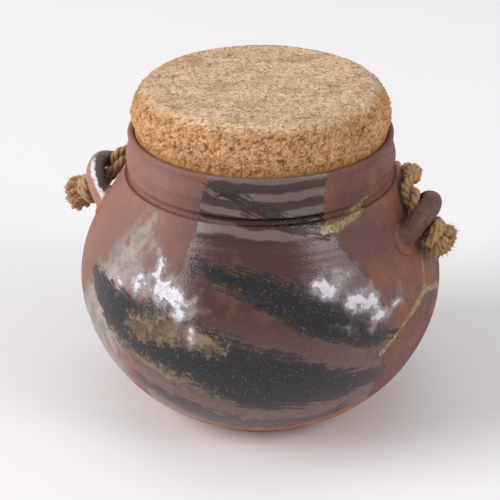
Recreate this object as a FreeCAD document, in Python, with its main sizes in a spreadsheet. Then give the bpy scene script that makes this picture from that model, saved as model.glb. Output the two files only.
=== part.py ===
"""Stoneware onion pot with two lugs, an agglomerated cork bung and a knotted rope handle.

A wheel-thrown pot: a round belly on a small flat foot, a conical shoulder, and a short collar that
a groove parts from the shoulder. Two bent lugs of clay stand on the shoulder, at +X and -X. A cork
bung wedges in the mouth. A rope lies on the shoulder behind the neck, goes down through both lugs
and is stopped outside each of them by a knot with a frayed end.

Frame: the origin is the centre of the foot, +Z is up, the lugs lie on the X axis, and the rope
goes round the neck on the +Y side. All lengths are in millimetres, all angles in degrees.
"""

import FreeCAD, Part
import math
import os
import Sketcher
from FreeCAD import Placement, Rotation, Vector

# The driving sizes: name, value, meaning.
SIZES = [
    # Pot, outside
    ("foot_inset", 2.13, "how far the foot's bevel comes in at the ground"),
    ("foot_bevel", 2.0, "height of the bevel trimmed round the foot"),
    ("belly_radius", 90.0, "widest radius of the pot"),
    ("belly_height", 67.6, "height of the widest point"),
    ("belly_arc", 57.4, "radius of the belly's curve"),
    ("low_turn", 15.2, "angle of the belly's curve below its widest point"),
    ("low_arc", 80.0, "radius of the curve from belly to foot"),
    ("shoulder_turn", 28.0, "angle of the belly's curve above its widest point"),
    ("shoulder_arc", 544.0, "radius of the shoulder's nearly straight line"),
    ("neck_height", 124.1, "height of the groove between shoulder and collar"),
    ("groove_depth", 2.36, "how deep the groove is pressed below the shoulder's line"),
    ("groove_arc", 1.8, "radius of the groove's hollow"),
    ("collar_swell", 1.9, "how far the collar stands out beyond the groove's bottom"),
    ("collar_rise", 7.4, "from the groove up to the collar's widest point"),
    ("collar_arc", 22.0, "radius of the collar's swelling"),
    ("collar_height", 21.2, "from the groove up to the rim"),
    ("waist_drop", 5.2, "from the rim down to the waist below the lip"),
    ("lip_swell", 0.7, "how far the lip stands out beyond the groove's bottom"),
    ("lip_arc", 1.6, "radius of the rounded lip"),
    # Pot, inside
    ("wall", 6.0, "thickness of the wall"),
    ("floor", 8.0, "thickness of the floor"),
    ("throat_drop", 19.5, "from the rim down to the foot of the mouth's cone"),
    ("throat_taper", 7.0, "angle of the mouth's cone from the vertical"),
    # Lugs
    ("lug_height", 104.5, "height of the lugs' feet on the shoulder"),
    ("lug_tilt", 50.0, "rise of the lugs' plane above the horizontal"),
    ("lug_spread", 17.0, "half the distance between the middles of a lug's two legs"),
    ("lug_reach", 14.5, "from the shoulder to the middle of a lug's bend"),
    ("lug_root", 3.5, "how far a lug's ends go into the wall"),
    ("lug_thick", 8.6, "thickness of a lug in its own plane"),
    ("lug_broad", 10.8, "breadth of a lug across its own plane"),
    ("lug_weld", 2.2, "radius of the clay smeared round a lug's feet"),
    # Cork
    ("cork_stand", 22.9, "height of the cork above the rim"),
    ("cork_depth", 17.0, "length of the cork inside the mouth"),
    ("cork_inset", 1.6, "how far the cork's widest part lies inside the lip's outside"),
    ("cork_crown", 14.3, "from the cork's top down to its widest point"),
    ("cork_crown_arc", 16.0, "radius of the cork's worn upper side"),
    ("cork_edge", 7.0, "rounding between its worn side and its top"),
    ("cork_under_arc", 18.0, "radius of its side below the widest point"),
    ("cork_toe", 2.0, "rounding of its lower edge"),
    ("cork_fit", 0.4, "gap left between the cork's cone and the mouth's"),
    # Rope
    ("rope_diameter", 6.8, "outer diameter of the two-strand rope"),
    ("knot_radius", 8.2, "radius of a knot across the rope"),
    ("knot_length", 10.0, "length of a knot along the rope"),
    ("tuft_root", 5.0, "radius of the frayed end where it leaves the knot"),
    ("tuft_radius", 8.5, "radius of the frayed end at its tip"),
    ("tuft_length", 11.0, "length of the frayed end"),
]

# Sizes that follow from the others: name, formula, meaning.
DERIVED = [
    ("low_x", "belly_radius - belly_arc - (low_arc - belly_arc) * cos(low_turn * 1 deg)",
     "distance of the low curve's centre from the axis"),
    ("low_z", "belly_height + (low_arc - belly_arc) * sin(low_turn * 1 deg)",
     "height of the low curve's centre"),
    ("foot_radius", "low_x + sqrt(low_arc ^ 2 - (low_z - foot_bevel) ^ 2) - foot_inset",
     "flat foot that the pot stands on"),
    ("shoulder_x",
     "belly_radius - belly_arc - (shoulder_arc - belly_arc) * cos(shoulder_turn * 1 deg)",
     "distance of the shoulder curve's centre from the axis"),
    ("shoulder_z", "belly_height - (shoulder_arc - belly_arc) * sin(shoulder_turn * 1 deg)",
     "height of the shoulder curve's centre"),
    ("neck_radius",
     "shoulder_x + sqrt(shoulder_arc ^ 2 - (neck_height - shoulder_z) ^ 2) - groove_depth",
     "radius at the bottom of the groove"),
    ("collar_radius", "neck_radius + collar_swell", "widest radius of the collar"),
    ("lip_radius", "neck_radius + lip_swell", "outer radius of the lip"),
    ("cork_radius", "lip_radius - cork_inset", "widest radius of the cork"),
]

# The rope's route from knot to knot, as points that its straight runs join. It leaves each knot
# upward under the lug, lies on the shoulder and hangs down behind the neck.
ROPE_ROUTE = [
    Vector(84.4, -3.8, 105.4),
    Vector(79.5, -2.2, 109.2),
    Vector(74.7, -2.6, 117.6),
    Vector(71.8, 10.7, 121.6),
    Vector(69.5, 28.1, 118.0),
    Vector(64.5, 46.8, 110.0),
    Vector(53.2, 65.7, 101.8),
    Vector(34.2, 80.6, 96.0),
    Vector(10.1, 88.5, 93.0),
    Vector(-15.5, 87.7, 93.0),
    Vector(-39.1, 78.4, 96.0),
    Vector(-56.6, 62.9, 101.6),
    Vector(-66.7, 45.0, 108.6),
    Vector(-71.5, 28.2, 114.8),
    Vector(-73.1, 12.9, 118.8),
    Vector(-75.7, 2.6, 115.8),
    Vector(-79.9, 0.6, 108.6),
    Vector(-84.2, -1.6, 104.4),
]

# Where each knot's middle lies, and the way its frayed end points.
KNOTS = {
    "knot_right": (Vector(88.2, -4.4, 103.0), Vector(6.5, 1.5, -5.5)),
    "knot_left": (Vector(-88.4, -4.6, 102.6), Vector(-9.5, 1.0, -3.2)),
}

SHEET = "Sizes"


# ---------------------------------------------------------------- document and helpers

def new_sheet(doc):
    """Put the driving sizes into a spreadsheet, one row and one alias each."""
    sheet = doc.addObject("Spreadsheet::Sheet", SHEET)
    for row, (alias, value, meaning) in enumerate(SIZES, start=1):
        sheet.set(f"A{row}", alias)
        sheet.set(f"B{row}", str(value))
        sheet.setAlias(f"B{row}", alias)
        sheet.set(f"C{row}", meaning)
    for row, (alias, text, meaning) in enumerate(DERIVED, start=len(SIZES) + 1):
        sheet.set(f"A{row}", alias)
        sheet.set(f"B{row}", f"={text}")
        sheet.setAlias(f"B{row}", alias)
        sheet.set(f"C{row}", meaning)
        doc.recompute()
    return sheet


def formula(text):
    """An expression in which each size's name stands for its cell."""
    names = [alias for alias, _, _ in SIZES + DERIVED]
    words, word = [], ""
    for letter in text + " ":
        if letter.isalnum() or letter == "_":
            word += letter
            continue
        words.append(f"{SHEET}.{word}" if word in names else word)
        words.append(letter)
        word = ""
    return "".join(words).strip()


def on_circle(centre, radius, angle):
    """The point of a circle at an angle in degrees, counter-clockwise from +X."""
    turn = math.radians(angle)
    return Vector(centre.x + radius * math.cos(turn), centre.y + radius * math.sin(turn), 0)


def circles_meet(centre_a, radius_a, centre_b, radius_b, side):
    """Where two circles cross, on the left (1) or the right (-1) of the line from a to b."""
    along = centre_b - centre_a
    apart = along.Length
    reach = (apart ** 2 + radius_a ** 2 - radius_b ** 2) / (2 * apart)
    rise = math.sqrt(radius_a ** 2 - reach ** 2)
    unit = along / apart
    return centre_a + unit * reach + Vector(-unit.y, unit.x, 0) * (rise * side)


def angle_of(point, centre):
    return math.atan2(point.y - centre.y, point.x - centre.x)


class Outline:
    """A closed outline in a sketch: each new edge starts where the last one ended."""

    START, END, CENTRE = 1, 2, 3
    LEVEL, UPRIGHT = -1, -2
    ORIGIN = (-1, 1)

    def __init__(self, sketch):
        self.sketch = sketch
        self.edges = []

    def _chain(self, index, first, last, smooth):
        if self.edges:
            before, _, before_last = self.edges[-1]
            kind = "Tangent" if smooth else "Coincident"
            self.sketch.addConstraint(
                Sketcher.Constraint(kind, before, before_last, index, first))
        self.edges.append((index, first, last))
        return index

    def line(self, start, end, smooth=False):
        index = self.sketch.addGeometry(Part.LineSegment(start, end), False)
        return self._chain(index, self.START, self.END, smooth)

    def arc(self, centre, start, end, clockwise=False, smooth=False):
        """An arc from start to end; smooth makes it tangent to the edge before it."""
        low, high = (end, start) if clockwise else (start, end)
        circle = Part.Circle(centre, Vector(0, 0, 1), (start - centre).Length)
        arc = Part.ArcOfCircle(circle, angle_of(low, centre), angle_of(high, centre))
        index = self.sketch.addGeometry(arc, False)
        if clockwise:
            return self._chain(index, self.END, self.START, smooth)
        return self._chain(index, self.START, self.END, smooth)

    def close(self):
        last, _, last_end = self.edges[-1]
        first, first_start, _ = self.edges[0]
        self.sketch.addConstraint(
            Sketcher.Constraint("Coincident", last, last_end, first, first_start))

    def last_point(self, index):
        return next((edge, last) for edge, _, last in self.edges if edge == index)

    def first_point(self, index):
        return next((edge, first) for edge, first, _ in self.edges if edge == index)

    def _bind(self, constraint, name, text):
        number = self.sketch.addConstraint(constraint)
        self.sketch.renameConstraint(number, name)
        self.sketch.setExpression(f"Constraints.{name}", formula(text))

    def across(self, name, point, value, text, start=ORIGIN):
        """Hold a point's distance along the sketch's first axis."""
        self._bind(Sketcher.Constraint("DistanceX", *start, *point, value), name, text)

    def up(self, name, point, value, text, start=ORIGIN):
        """Hold a point's distance along the sketch's second axis."""
        self._bind(Sketcher.Constraint("DistanceY", *start, *point, value), name, text)

    def radius(self, name, index, value, text):
        self._bind(Sketcher.Constraint("Radius", index, value), name, text)

    def centre_at(self, name, index, centre, text_x, text_y):
        self.across(f"{name}_centre_x", (index, self.CENTRE), centre.x, text_x)
        self.up(f"{name}_centre_y", (index, self.CENTRE), centre.y, text_y)

    def same_centre(self, index, other):
        self.sketch.addConstraint(
            Sketcher.Constraint("Coincident", index, self.CENTRE, other, self.CENTRE))

    def flat(self, index):
        self.sketch.addConstraint(Sketcher.Constraint("Horizontal", index))

    def upright(self, index):
        self.sketch.addConstraint(Sketcher.Constraint("Vertical", index))

    def on_axis(self, point, axis):
        self.sketch.addConstraint(Sketcher.Constraint("PointOnObject", *point, axis))

    def at_origin(self, point):
        self.sketch.addConstraint(Sketcher.Constraint("Coincident", *point, *self.ORIGIN))


def new_body(doc, label):
    body = doc.addObject("PartDesign::Body", label)
    body.Label = label
    return body


def origin_plane(body, role):
    return next(item for item in body.Origin.OriginFeatures if item.Role == role)


def new_sketch(body, name, role):
    """A sketch on one of the body's own origin planes."""
    sketch = body.newObject("Sketcher::SketchObject", name)
    sketch.AttachmentSupport = (origin_plane(body, role), [""])
    sketch.MapMode = "FlatFace"
    return sketch


def turned_solid(doc, body, sketch, name):
    """The sketch's outline turned once round its upright axis."""
    doc.recompute()
    feature = body.newObject("PartDesign::Revolution", name)
    feature.Profile = sketch
    feature.ReferenceAxis = (sketch, ["V_Axis"])
    feature.Angle = 360
    doc.recompute()
    return feature


def ring_edges(shape, radius, height, near=0.05):
    """The names of the circular edges round the Z axis with that radius and height."""
    names = []
    for number, edge in enumerate(shape.Edges, start=1):
        curve = edge.Curve
        if isinstance(curve, Part.Circle) and abs(curve.Radius - radius) < near:
            if abs(curve.Center.z - height) < near:
                names.append(f"Edge{number}")
    return names


def round_edges(doc, body, base, names, radius_text, label):
    """A fillet on the named edges, its radius bound to the sheet."""
    feature = body.newObject("PartDesign::Fillet", label)
    feature.Base = (base, names)
    feature.setExpression("Radius", formula(radius_text))
    doc.recompute()
    return feature


# ---------------------------------------------------------------- pot

def shoulder_radius(size, height):
    """The outer radius of the shoulder at a height."""
    rise = height - size.shoulder_z
    return size.shoulder_x + math.sqrt(size.shoulder_arc ** 2 - rise ** 2)


def draw_pot_outline(sketch, size):
    """Half of the pot's section: outside from foot to lip, then inside back to the floor."""
    out = Outline(sketch)
    rim_height = size.neck_height + size.collar_height

    # The five circles of the outside.
    belly = Vector(size.belly_radius - size.belly_arc, size.belly_height, 0)
    low_joint = on_circle(belly, size.belly_arc, -size.low_turn)
    low = Vector(size.low_x, size.low_z, 0)
    high_joint = on_circle(belly, size.belly_arc, size.shoulder_turn)
    shoulder = Vector(size.shoulder_x, size.shoulder_z, 0)
    groove = Vector(size.neck_radius + size.groove_arc, size.neck_height, 0)
    collar = Vector(size.collar_radius - size.collar_arc, size.neck_height + size.collar_rise, 0)
    lip = Vector(size.lip_radius - size.lip_arc, rim_height - size.lip_arc, 0)

    # The outside's corners.
    bevel_top = Vector(low.x + math.sqrt(size.low_arc ** 2 - (low.y - size.foot_bevel) ** 2),
                       size.foot_bevel, 0)
    groove_low = circles_meet(shoulder, size.shoulder_arc, groove, size.groove_arc, -1)
    groove_top = circles_meet(groove, size.groove_arc, collar, size.collar_arc, -1)
    waist_height = rim_height - size.waist_drop
    waist = Vector(collar.x + math.sqrt(size.collar_arc ** 2 - (waist_height - collar.y) ** 2),
                   waist_height, 0)

    # The inside runs at the wall's thickness, up to a cone that takes the cork.
    throat_height = rim_height - size.throat_drop
    lip_inside = on_circle(lip, size.lip_arc, 180)
    throat = Vector(lip_inside.x - (lip.y - throat_height) * math.tan(
        math.radians(size.throat_taper)), throat_height, 0)
    inner_shoulder_arc = size.shoulder_arc - size.wall
    inner_shoulder_x = throat.x
    inner_shoulder = Vector(inner_shoulder_x, shoulder.y + math.sqrt(
        inner_shoulder_arc ** 2 - (inner_shoulder_x - shoulder.x) ** 2), 0)
    inner_high = on_circle(belly, size.belly_arc - size.wall, size.shoulder_turn)
    inner_low = on_circle(belly, size.belly_arc - size.wall, -size.low_turn)
    inner_low_arc = size.low_arc - size.wall
    floor_edge = Vector(low.x + math.sqrt(inner_low_arc ** 2 - (low.y - size.floor) ** 2),
                        size.floor, 0)

    centre_foot = Vector(0, 0, 0)
    centre_floor = Vector(0, size.floor, 0)
    foot_edge = Vector(size.foot_radius, 0, 0)

    foot = out.line(centre_foot, foot_edge)
    bevel = out.line(foot_edge, bevel_top)
    low_arc = out.arc(low, bevel_top, low_joint)
    belly_arc = out.arc(belly, low_joint, high_joint, smooth=True)
    shoulder_arc = out.arc(shoulder, high_joint, groove_low, smooth=True)
    groove_arc = out.arc(groove, groove_low, groove_top, clockwise=True)
    collar_arc = out.arc(collar, groove_top, waist)
    neck_line = out.line(waist, on_circle(lip, size.lip_arc, 0))
    lip_arc = out.arc(lip, on_circle(lip, size.lip_arc, 0), lip_inside)
    throat_line = out.line(lip_inside, throat)
    drop = out.line(throat, inner_shoulder)
    inner_shoulder_edge = out.arc(shoulder, inner_shoulder, inner_high, clockwise=True)
    inner_belly = out.arc(belly, inner_high, inner_low, clockwise=True)
    inner_low_edge = out.arc(low, inner_low, floor_edge, clockwise=True)
    floor_line = out.line(floor_edge, centre_floor)
    axis_line = out.line(centre_floor, centre_foot)
    out.close()

    out.at_origin(out.first_point(foot))
    for level in (foot, floor_line):
        out.flat(level)
    for plumb in (axis_line, drop):
        out.upright(plumb)
    out.across("foot_edge", out.last_point(foot), foot_edge.x, "foot_radius")
    out.up("bevel_top", out.last_point(bevel), bevel_top.y, "foot_bevel")
    out.centre_at("belly", belly_arc, belly, "belly_radius - belly_arc", "belly_height")
    out.radius("belly_curve", belly_arc, size.belly_arc, "belly_arc")
    out.up("low_joint", out.first_point(belly_arc), low_joint.y,
           "belly_height - belly_arc * sin(low_turn * 1 deg)")
    out.up("high_joint", out.last_point(belly_arc), high_joint.y,
           "belly_height + belly_arc * sin(shoulder_turn * 1 deg)")
    out.radius("low_curve", low_arc, size.low_arc, "low_arc")
    out.radius("shoulder_curve", shoulder_arc, size.shoulder_arc, "shoulder_arc")
    out.centre_at("groove", groove_arc, groove, "neck_radius + groove_arc", "neck_height")
    out.radius("groove_hollow", groove_arc, size.groove_arc, "groove_arc")
    out.centre_at("collar", collar_arc, collar, "collar_radius - collar_arc",
                  "neck_height + collar_rise")
    out.radius("collar_curve", collar_arc, size.collar_arc, "collar_arc")
    out.up("waist", out.last_point(collar_arc), waist.y,
           "neck_height + collar_height - waist_drop")
    out.centre_at("lip", lip_arc, lip, "lip_radius - lip_arc",
                  "neck_height + collar_height - lip_arc")
    out.radius("lip_round", lip_arc, size.lip_arc, "lip_arc")
    out.up("lip_outside", out.first_point(lip_arc), lip.y,
           "neck_height + collar_height - lip_arc")
    out.up("lip_inside", out.last_point(lip_arc), lip.y,
           "neck_height + collar_height - lip_arc")
    out.up("throat_foot", out.last_point(throat_line), throat.y,
           "neck_height + collar_height - throat_drop")
    out.across("throat_bore", out.last_point(throat_line), throat.x,
               "lip_radius - 2 * lip_arc - (throat_drop - lip_arc) * tan(throat_taper * 1 deg)")
    out.same_centre(inner_shoulder_edge, shoulder_arc)
    out.same_centre(inner_belly, belly_arc)
    out.same_centre(inner_low_edge, low_arc)
    out.radius("inner_belly_curve", inner_belly, size.belly_arc - size.wall, "belly_arc - wall")
    out.up("inner_high_joint", out.first_point(inner_belly), inner_high.y,
           "belly_height + (belly_arc - wall) * sin(shoulder_turn * 1 deg)")
    out.up("inner_low_joint", out.last_point(inner_belly), inner_low.y,
           "belly_height - (belly_arc - wall) * sin(low_turn * 1 deg)")
    out.up("floor_top", out.last_point(floor_line), size.floor, "floor")


def draw_lug_section(sketch, size):
    """The oval section of a lug where it stands out farthest, square on the bend's circle."""
    centre = Vector(lug_bend(size), 0, 0)
    thick, broad = size.lug_thick / 2, size.lug_broad / 2
    oval = sketch.addGeometry(
        Part.Ellipse(centre + Vector(0, broad, 0), centre + Vector(thick, 0, 0), centre), False)
    sketch.exposeInternalGeometry(oval)
    long_axis, short_axis = 1, 2
    for name, axis, kind, value, text in (
            ("broad", long_axis, "DistanceY", size.lug_broad, "lug_broad"),
            ("thick", short_axis, "DistanceX", size.lug_thick, "lug_thick")):
        line = sketch.Geometry[axis]
        rising = line.EndPoint - line.StartPoint
        ends = (1, 2) if rising.x + rising.y > 0 else (2, 1)
        number = sketch.addConstraint(
            Sketcher.Constraint(kind, axis, ends[0], axis, ends[1], value))
        sketch.renameConstraint(number, name)
        sketch.setExpression(f"Constraints.{name}", formula(text))
    sketch.addConstraint(Sketcher.Constraint("Vertical", long_axis))
    sketch.addConstraint(Sketcher.Constraint("PointOnObject", oval, Outline.CENTRE, Outline.LEVEL))
    number = sketch.addConstraint(
        Sketcher.Constraint("DistanceX", *Outline.ORIGIN, oval, Outline.CENTRE, centre.x))
    sketch.renameConstraint(number, "bend")
    sketch.setExpression("Constraints.bend", formula(LUG_BEND))


# A lug bends round a circle through its two feet and its farthest point.
LUG_BEND = "(lug_spread ^ 2 + lug_reach ^ 2) / (2 * lug_reach)"


def lug_bend(size):
    return (size.lug_spread ** 2 + size.lug_reach ** 2) / (2 * size.lug_reach)


def lug_foot_x(size):
    """Where the shoulder is, along X, between the middles of a lug's feet."""
    return math.sqrt(shoulder_radius(size, size.lug_height) ** 2 - size.lug_spread ** 2)


def lug_foot_edges(shape, size):
    """The names of the edges where the lugs' legs meet the shoulder."""
    foot_x = lug_foot_x(size)
    names = []
    for number, edge in enumerate(shape.Edges, start=1):
        middle = edge.BoundBox.Center
        nearest = Vector(math.copysign(foot_x, middle.x),
                         math.copysign(size.lug_spread, middle.y), size.lug_height)
        spans = edge.BoundBox.DiagonalLength
        if (middle - nearest).Length < size.lug_broad / 2 and spans < size.lug_broad * 2.5:
            names.append(f"Edge{number}")
    return names


def make_pot(doc, size):
    body = new_body(doc, "pot")
    outline = new_sketch(body, "pot_outline", "XZ_Plane")
    draw_pot_outline(outline, size)
    turned_solid(doc, body, outline, "thrown")

    # The section's sketch has its origin at the middle of the bend's circle.
    tilt = math.radians(size.lug_tilt)
    set_back = size.lug_reach - lug_bend(size)
    section = new_sketch(body, "lug_section", "XZ_Plane")
    draw_lug_section(section, size)
    section.AttachmentOffset = Placement(
        Vector(lug_foot_x(size) + set_back * math.cos(tilt),
               size.lug_height + set_back * math.sin(tilt), 0),
        Rotation(Vector(0, 0, 1), size.lug_tilt))
    doc.recompute()

    lug = body.newObject("PartDesign::Revolution", "lug")
    lug.Profile = section
    lug.ReferenceAxis = (section, ["V_Axis"])
    lug.Midplane = True
    lug.setExpression("Angle", formula(
        f"2 * (atan2(lug_spread; {LUG_BEND} - lug_reach) + lug_root / ({LUG_BEND}) * 1 rad)"))
    doc.recompute()

    pair = body.newObject("PartDesign::Mirrored", "lug_pair")
    pair.Originals = [lug]
    pair.MirrorPlane = (origin_plane(body, "YZ_Plane"), [""])
    body.Tip = pair
    doc.recompute()

    round_edges(doc, body, pair, lug_foot_edges(pair.Shape, size), "lug_weld", "lug_welds")
    return body


# ---------------------------------------------------------------- cork

def draw_cork_outline(sketch, size):
    """Half of the cork's section: worn round above the rim, a cone inside the mouth."""
    out = Outline(sketch)
    rim = size.neck_height + size.collar_height
    top = rim + size.cork_stand
    taper = math.radians(size.throat_taper)
    bore_at_lip = size.lip_radius - 2 * size.lip_arc
    slack = size.cork_fit / math.cos(taper)

    def cone(height):
        return bore_at_lip - (rim - size.lip_arc - height) * math.tan(taper) - slack

    crown = Vector(size.cork_radius - size.cork_crown_arc, top - size.cork_crown, 0)
    under = Vector(size.cork_radius - size.cork_under_arc, top - size.cork_crown, 0)
    top_edge = Vector(crown.x + math.sqrt(size.cork_crown_arc ** 2 - size.cork_crown ** 2),
                      top, 0)
    widest = Vector(size.cork_radius, crown.y, 0)
    flank = Vector(under.x + math.sqrt(size.cork_under_arc ** 2 - (under.y - rim) ** 2), rim, 0)
    toe_height = rim - size.cork_depth
    shank = Vector(cone(rim), rim, 0)
    toe = Vector(cone(toe_height), toe_height, 0)
    centre_toe, centre_top = Vector(0, toe_height, 0), Vector(0, top, 0)

    bottom = out.line(centre_toe, toe)
    side = out.line(toe, shank)
    ledge = out.line(shank, flank)
    under_arc = out.arc(under, flank, widest)
    crown_arc = out.arc(crown, widest, top_edge, smooth=True)
    top_line = out.line(top_edge, centre_top)
    axis_line = out.line(centre_top, centre_toe)
    out.close()

    for level in (bottom, ledge, top_line):
        out.flat(level)
    out.upright(axis_line)
    out.on_axis(out.first_point(bottom), out.UPRIGHT)
    out.up("toe_height", out.first_point(bottom), toe_height,
           "neck_height + collar_height - cork_depth")
    bore = "(lip_radius - 2 * lip_arc - cork_fit / cos(throat_taper * 1 deg))"
    out.across("toe_radius", out.last_point(bottom), toe.x,
               f"{bore} - (cork_depth - lip_arc) * tan(throat_taper * 1 deg)")
    out.across("shank_radius", out.last_point(side), shank.x,
               f"{bore} + lip_arc * tan(throat_taper * 1 deg)")
    out.up("shank_height", out.last_point(side), rim, "neck_height + collar_height")
    out.centre_at("under", under_arc, under, "cork_radius - cork_under_arc",
                  "neck_height + collar_height + cork_stand - cork_crown")
    out.radius("under_curve", under_arc, size.cork_under_arc, "cork_under_arc")
    out.up("widest", out.first_point(crown_arc), widest.y,
           "neck_height + collar_height + cork_stand - cork_crown")
    out.radius("crown_curve", crown_arc, size.cork_crown_arc, "cork_crown_arc")
    out.up("top_height", out.last_point(top_line), top,
           "neck_height + collar_height + cork_stand")
    return top_edge, toe


def make_cork(doc, size):
    body = new_body(doc, "cork")
    outline = new_sketch(body, "cork_outline", "XZ_Plane")
    top_edge, toe = draw_cork_outline(outline, size)
    turned = turned_solid(doc, body, outline, "bung")
    rounded = round_edges(doc, body, turned, ring_edges(turned.Shape, top_edge.x, top_edge.y),
                          "cork_edge", "worn_edge")
    round_edges(doc, body, rounded, ring_edges(rounded.Shape, toe.x, toe.y),
                "cork_toe", "toe_edge")
    return body


# ---------------------------------------------------------------- rope

def route_path(points):
    """Straight runs joined by tangent arcs, as a wire, with the arcs' radii."""
    runs = [b - a for a, b in zip(points, points[1:])]
    edges, radii = [], []
    start = points[0]
    for before, corner, after in zip(runs, points[1:], runs[1:]):
        shorter = min(before.Length, after.Length)
        half_turn = before.getAngle(after) / 2
        setback = 0.45 * shorter
        radii.append(setback / math.tan(half_turn))
        into = corner - before / before.Length * setback
        out_of = corner + after / after.Length * setback
        inward = (into + out_of) / 2 - corner
        middle_gap = radii[-1] * (1 / math.cos(half_turn) - 1)
        middle = corner + inward / inward.Length * middle_gap
        edges.append(Part.LineSegment(start, into).toShape())
        edges.append(Part.Arc(into, middle, out_of).toShape())
        start = out_of
    edges.append(Part.LineSegment(start, points[-1]).toShape())
    return Part.Wire(edges), radii


def make_rope(doc, size):
    path, radii = route_path([Vector(point) for point in ROPE_ROUTE])
    start, ahead = ROPE_ROUTE[0], ROPE_ROUTE[1]
    circle = Part.Circle(start, ahead - start, size.rope_diameter / 2)
    section = Part.Wire([circle.toShape()])
    feature = doc.addObject("Part::Feature", "rope")
    feature.Label = "rope"
    feature.Shape = path.makePipeShell([section], True, False)
    expected = math.pi * (size.rope_diameter / 2) ** 2 * path.Length
    print("rope: length %.1f, arc radii %s" % (
        path.Length, " ".join("%.0f" % radius for radius in radii)))
    print("rope: volume %.0f, section times length %.0f" % (feature.Shape.Volume, expected))
    return feature


def make_knot(doc, size, name):
    """A knot on the rope's end, and the frayed tuft beyond it."""
    middle, aim = KNOTS[name]
    outward = aim / aim.Length
    turn = Rotation(Vector(0, 0, 1), outward)
    knot = doc.addObject("Part::Ellipsoid", f"{name}_ball")
    knot.setExpression("Radius1", formula("knot_length / 2"))
    knot.setExpression("Radius2", formula("knot_radius"))
    knot.setExpression("Radius3", formula("knot_radius"))
    knot.Placement = Placement(middle, turn)
    tuft = doc.addObject("Part::Cone", f"{name}_tuft")
    tuft.setExpression("Radius1", formula("tuft_root"))
    tuft.setExpression("Radius2", formula("tuft_radius"))
    tuft.setExpression("Height", formula("tuft_length + knot_length / 4"))
    tuft.Placement = Placement(middle + outward * size.knot_length / 4, turn)
    whole = doc.addObject("Part::Fuse", name)
    whole.Label = name
    whole.Base = knot
    whole.Tool = tuft
    return whole


# ---------------------------------------------------------------- checks and files

def check(doc, parts):
    for item in doc.Objects:
        if "Invalid" in item.State or "Error" in item.State:
            raise RuntimeError(f"{item.Name} did not recompute: {item.State}")
    for part in parts:
        shape = part.Shape
        if shape.isNull() or not shape.isValid():
            raise RuntimeError(f"{part.Label} has no valid shape")
        if len(shape.Solids) != 1:
            raise RuntimeError(f"{part.Label} has {len(shape.Solids)} solids, not one")


def main():
    doc = FreeCAD.newDocument("onion_pot")
    size = new_sheet(doc)
    parts = [
        make_pot(doc, size),
        make_cork(doc, size),
        make_rope(doc, size),
        make_knot(doc, size, "knot_right"),
        make_knot(doc, size, "knot_left"),
    ]
    doc.recompute()
    check(doc, parts)
    os.makedirs("parts", exist_ok=True)
    for part in parts:
        part.Shape.exportStep(f"parts/{part.Label}.step")
        box = part.Shape.BoundBox
        print("%-10s volume %9.0f  x %.1f..%.1f  y %.1f..%.1f  z %.1f..%.1f" % (
            part.Label, part.Shape.Volume, box.XMin, box.XMax, box.YMin, box.YMax,
            box.ZMin, box.ZMax))


main()
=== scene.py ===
"""Looks of the onion pot: thrown stoneware with poured glaze, a cork bung and a jute rope."""
import math
import random
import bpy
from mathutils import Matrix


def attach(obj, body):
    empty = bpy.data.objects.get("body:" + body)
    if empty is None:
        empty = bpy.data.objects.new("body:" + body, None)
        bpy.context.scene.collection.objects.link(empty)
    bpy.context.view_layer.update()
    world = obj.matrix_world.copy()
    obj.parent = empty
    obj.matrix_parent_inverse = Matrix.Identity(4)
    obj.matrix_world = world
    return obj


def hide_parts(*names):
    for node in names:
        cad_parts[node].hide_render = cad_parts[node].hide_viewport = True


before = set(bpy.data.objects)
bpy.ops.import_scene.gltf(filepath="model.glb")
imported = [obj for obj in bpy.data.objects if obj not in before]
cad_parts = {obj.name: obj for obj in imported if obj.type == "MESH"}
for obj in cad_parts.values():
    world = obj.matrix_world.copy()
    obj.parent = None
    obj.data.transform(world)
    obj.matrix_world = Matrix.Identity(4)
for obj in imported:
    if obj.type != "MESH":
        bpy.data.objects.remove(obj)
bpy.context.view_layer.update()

from types import SimpleNamespace

import bpy
import numpy as np
from mathutils import Vector, noise

MM = 0.001
TAU = 2 * math.pi
scene = bpy.context.scene
scene.view_settings.view_transform = "Standard"


# ------------------------ camera

CAMERA_AZIMUTH = math.radians(17.5)
CAMERA_PITCH = math.radians(25.95)
CAMERA_AWAY = 0.8078
CAMERA_HEIGHT = 0.4718
CAMERA_LEFT = 0.0053
CAMERA_LENS, CAMERA_SENSOR = 129.4, 36

FRONT = Vector((math.sin(CAMERA_AZIMUTH), -math.cos(CAMERA_AZIMUTH), 0))
RIGHT = Vector((math.cos(CAMERA_AZIMUTH), math.sin(CAMERA_AZIMUTH), 0))


def make_camera():
    data = bpy.data.cameras.new("camera")
    data.lens = CAMERA_LENS
    data.sensor_width = CAMERA_SENSOR
    camera = bpy.data.objects.new("camera", data)
    camera.location = FRONT * CAMERA_AWAY - RIGHT * CAMERA_LEFT + Vector((0, 0, CAMERA_HEIGHT))
    camera.rotation_euler = (math.pi / 2 - CAMERA_PITCH, 0, CAMERA_AZIMUTH)
    scene.collection.objects.link(camera)
    scene.camera = camera


make_camera()


# ------------------------ helpers

def link_mesh(name, vertices, faces, material, smooth=True):
    """A mesh object in the scene, from points in metres."""
    mesh = bpy.data.meshes.new(name)
    mesh.from_pydata([tuple(v) for v in vertices], [], faces)
    mesh.validate()
    piece = bpy.data.objects.new(name, mesh)
    scene.collection.objects.link(piece)
    mesh.materials.append(material)
    if smooth:
        mesh.polygons.foreach_set("use_smooth", [True] * len(mesh.polygons))
    return piece


def put_attribute(piece, name, values):
    """One number for each point, which a material reads by its name."""
    data = piece.data.attributes.new(name, "FLOAT", "POINT")
    data.data.foreach_set("value", np.asarray(values, dtype=np.float32))


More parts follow.
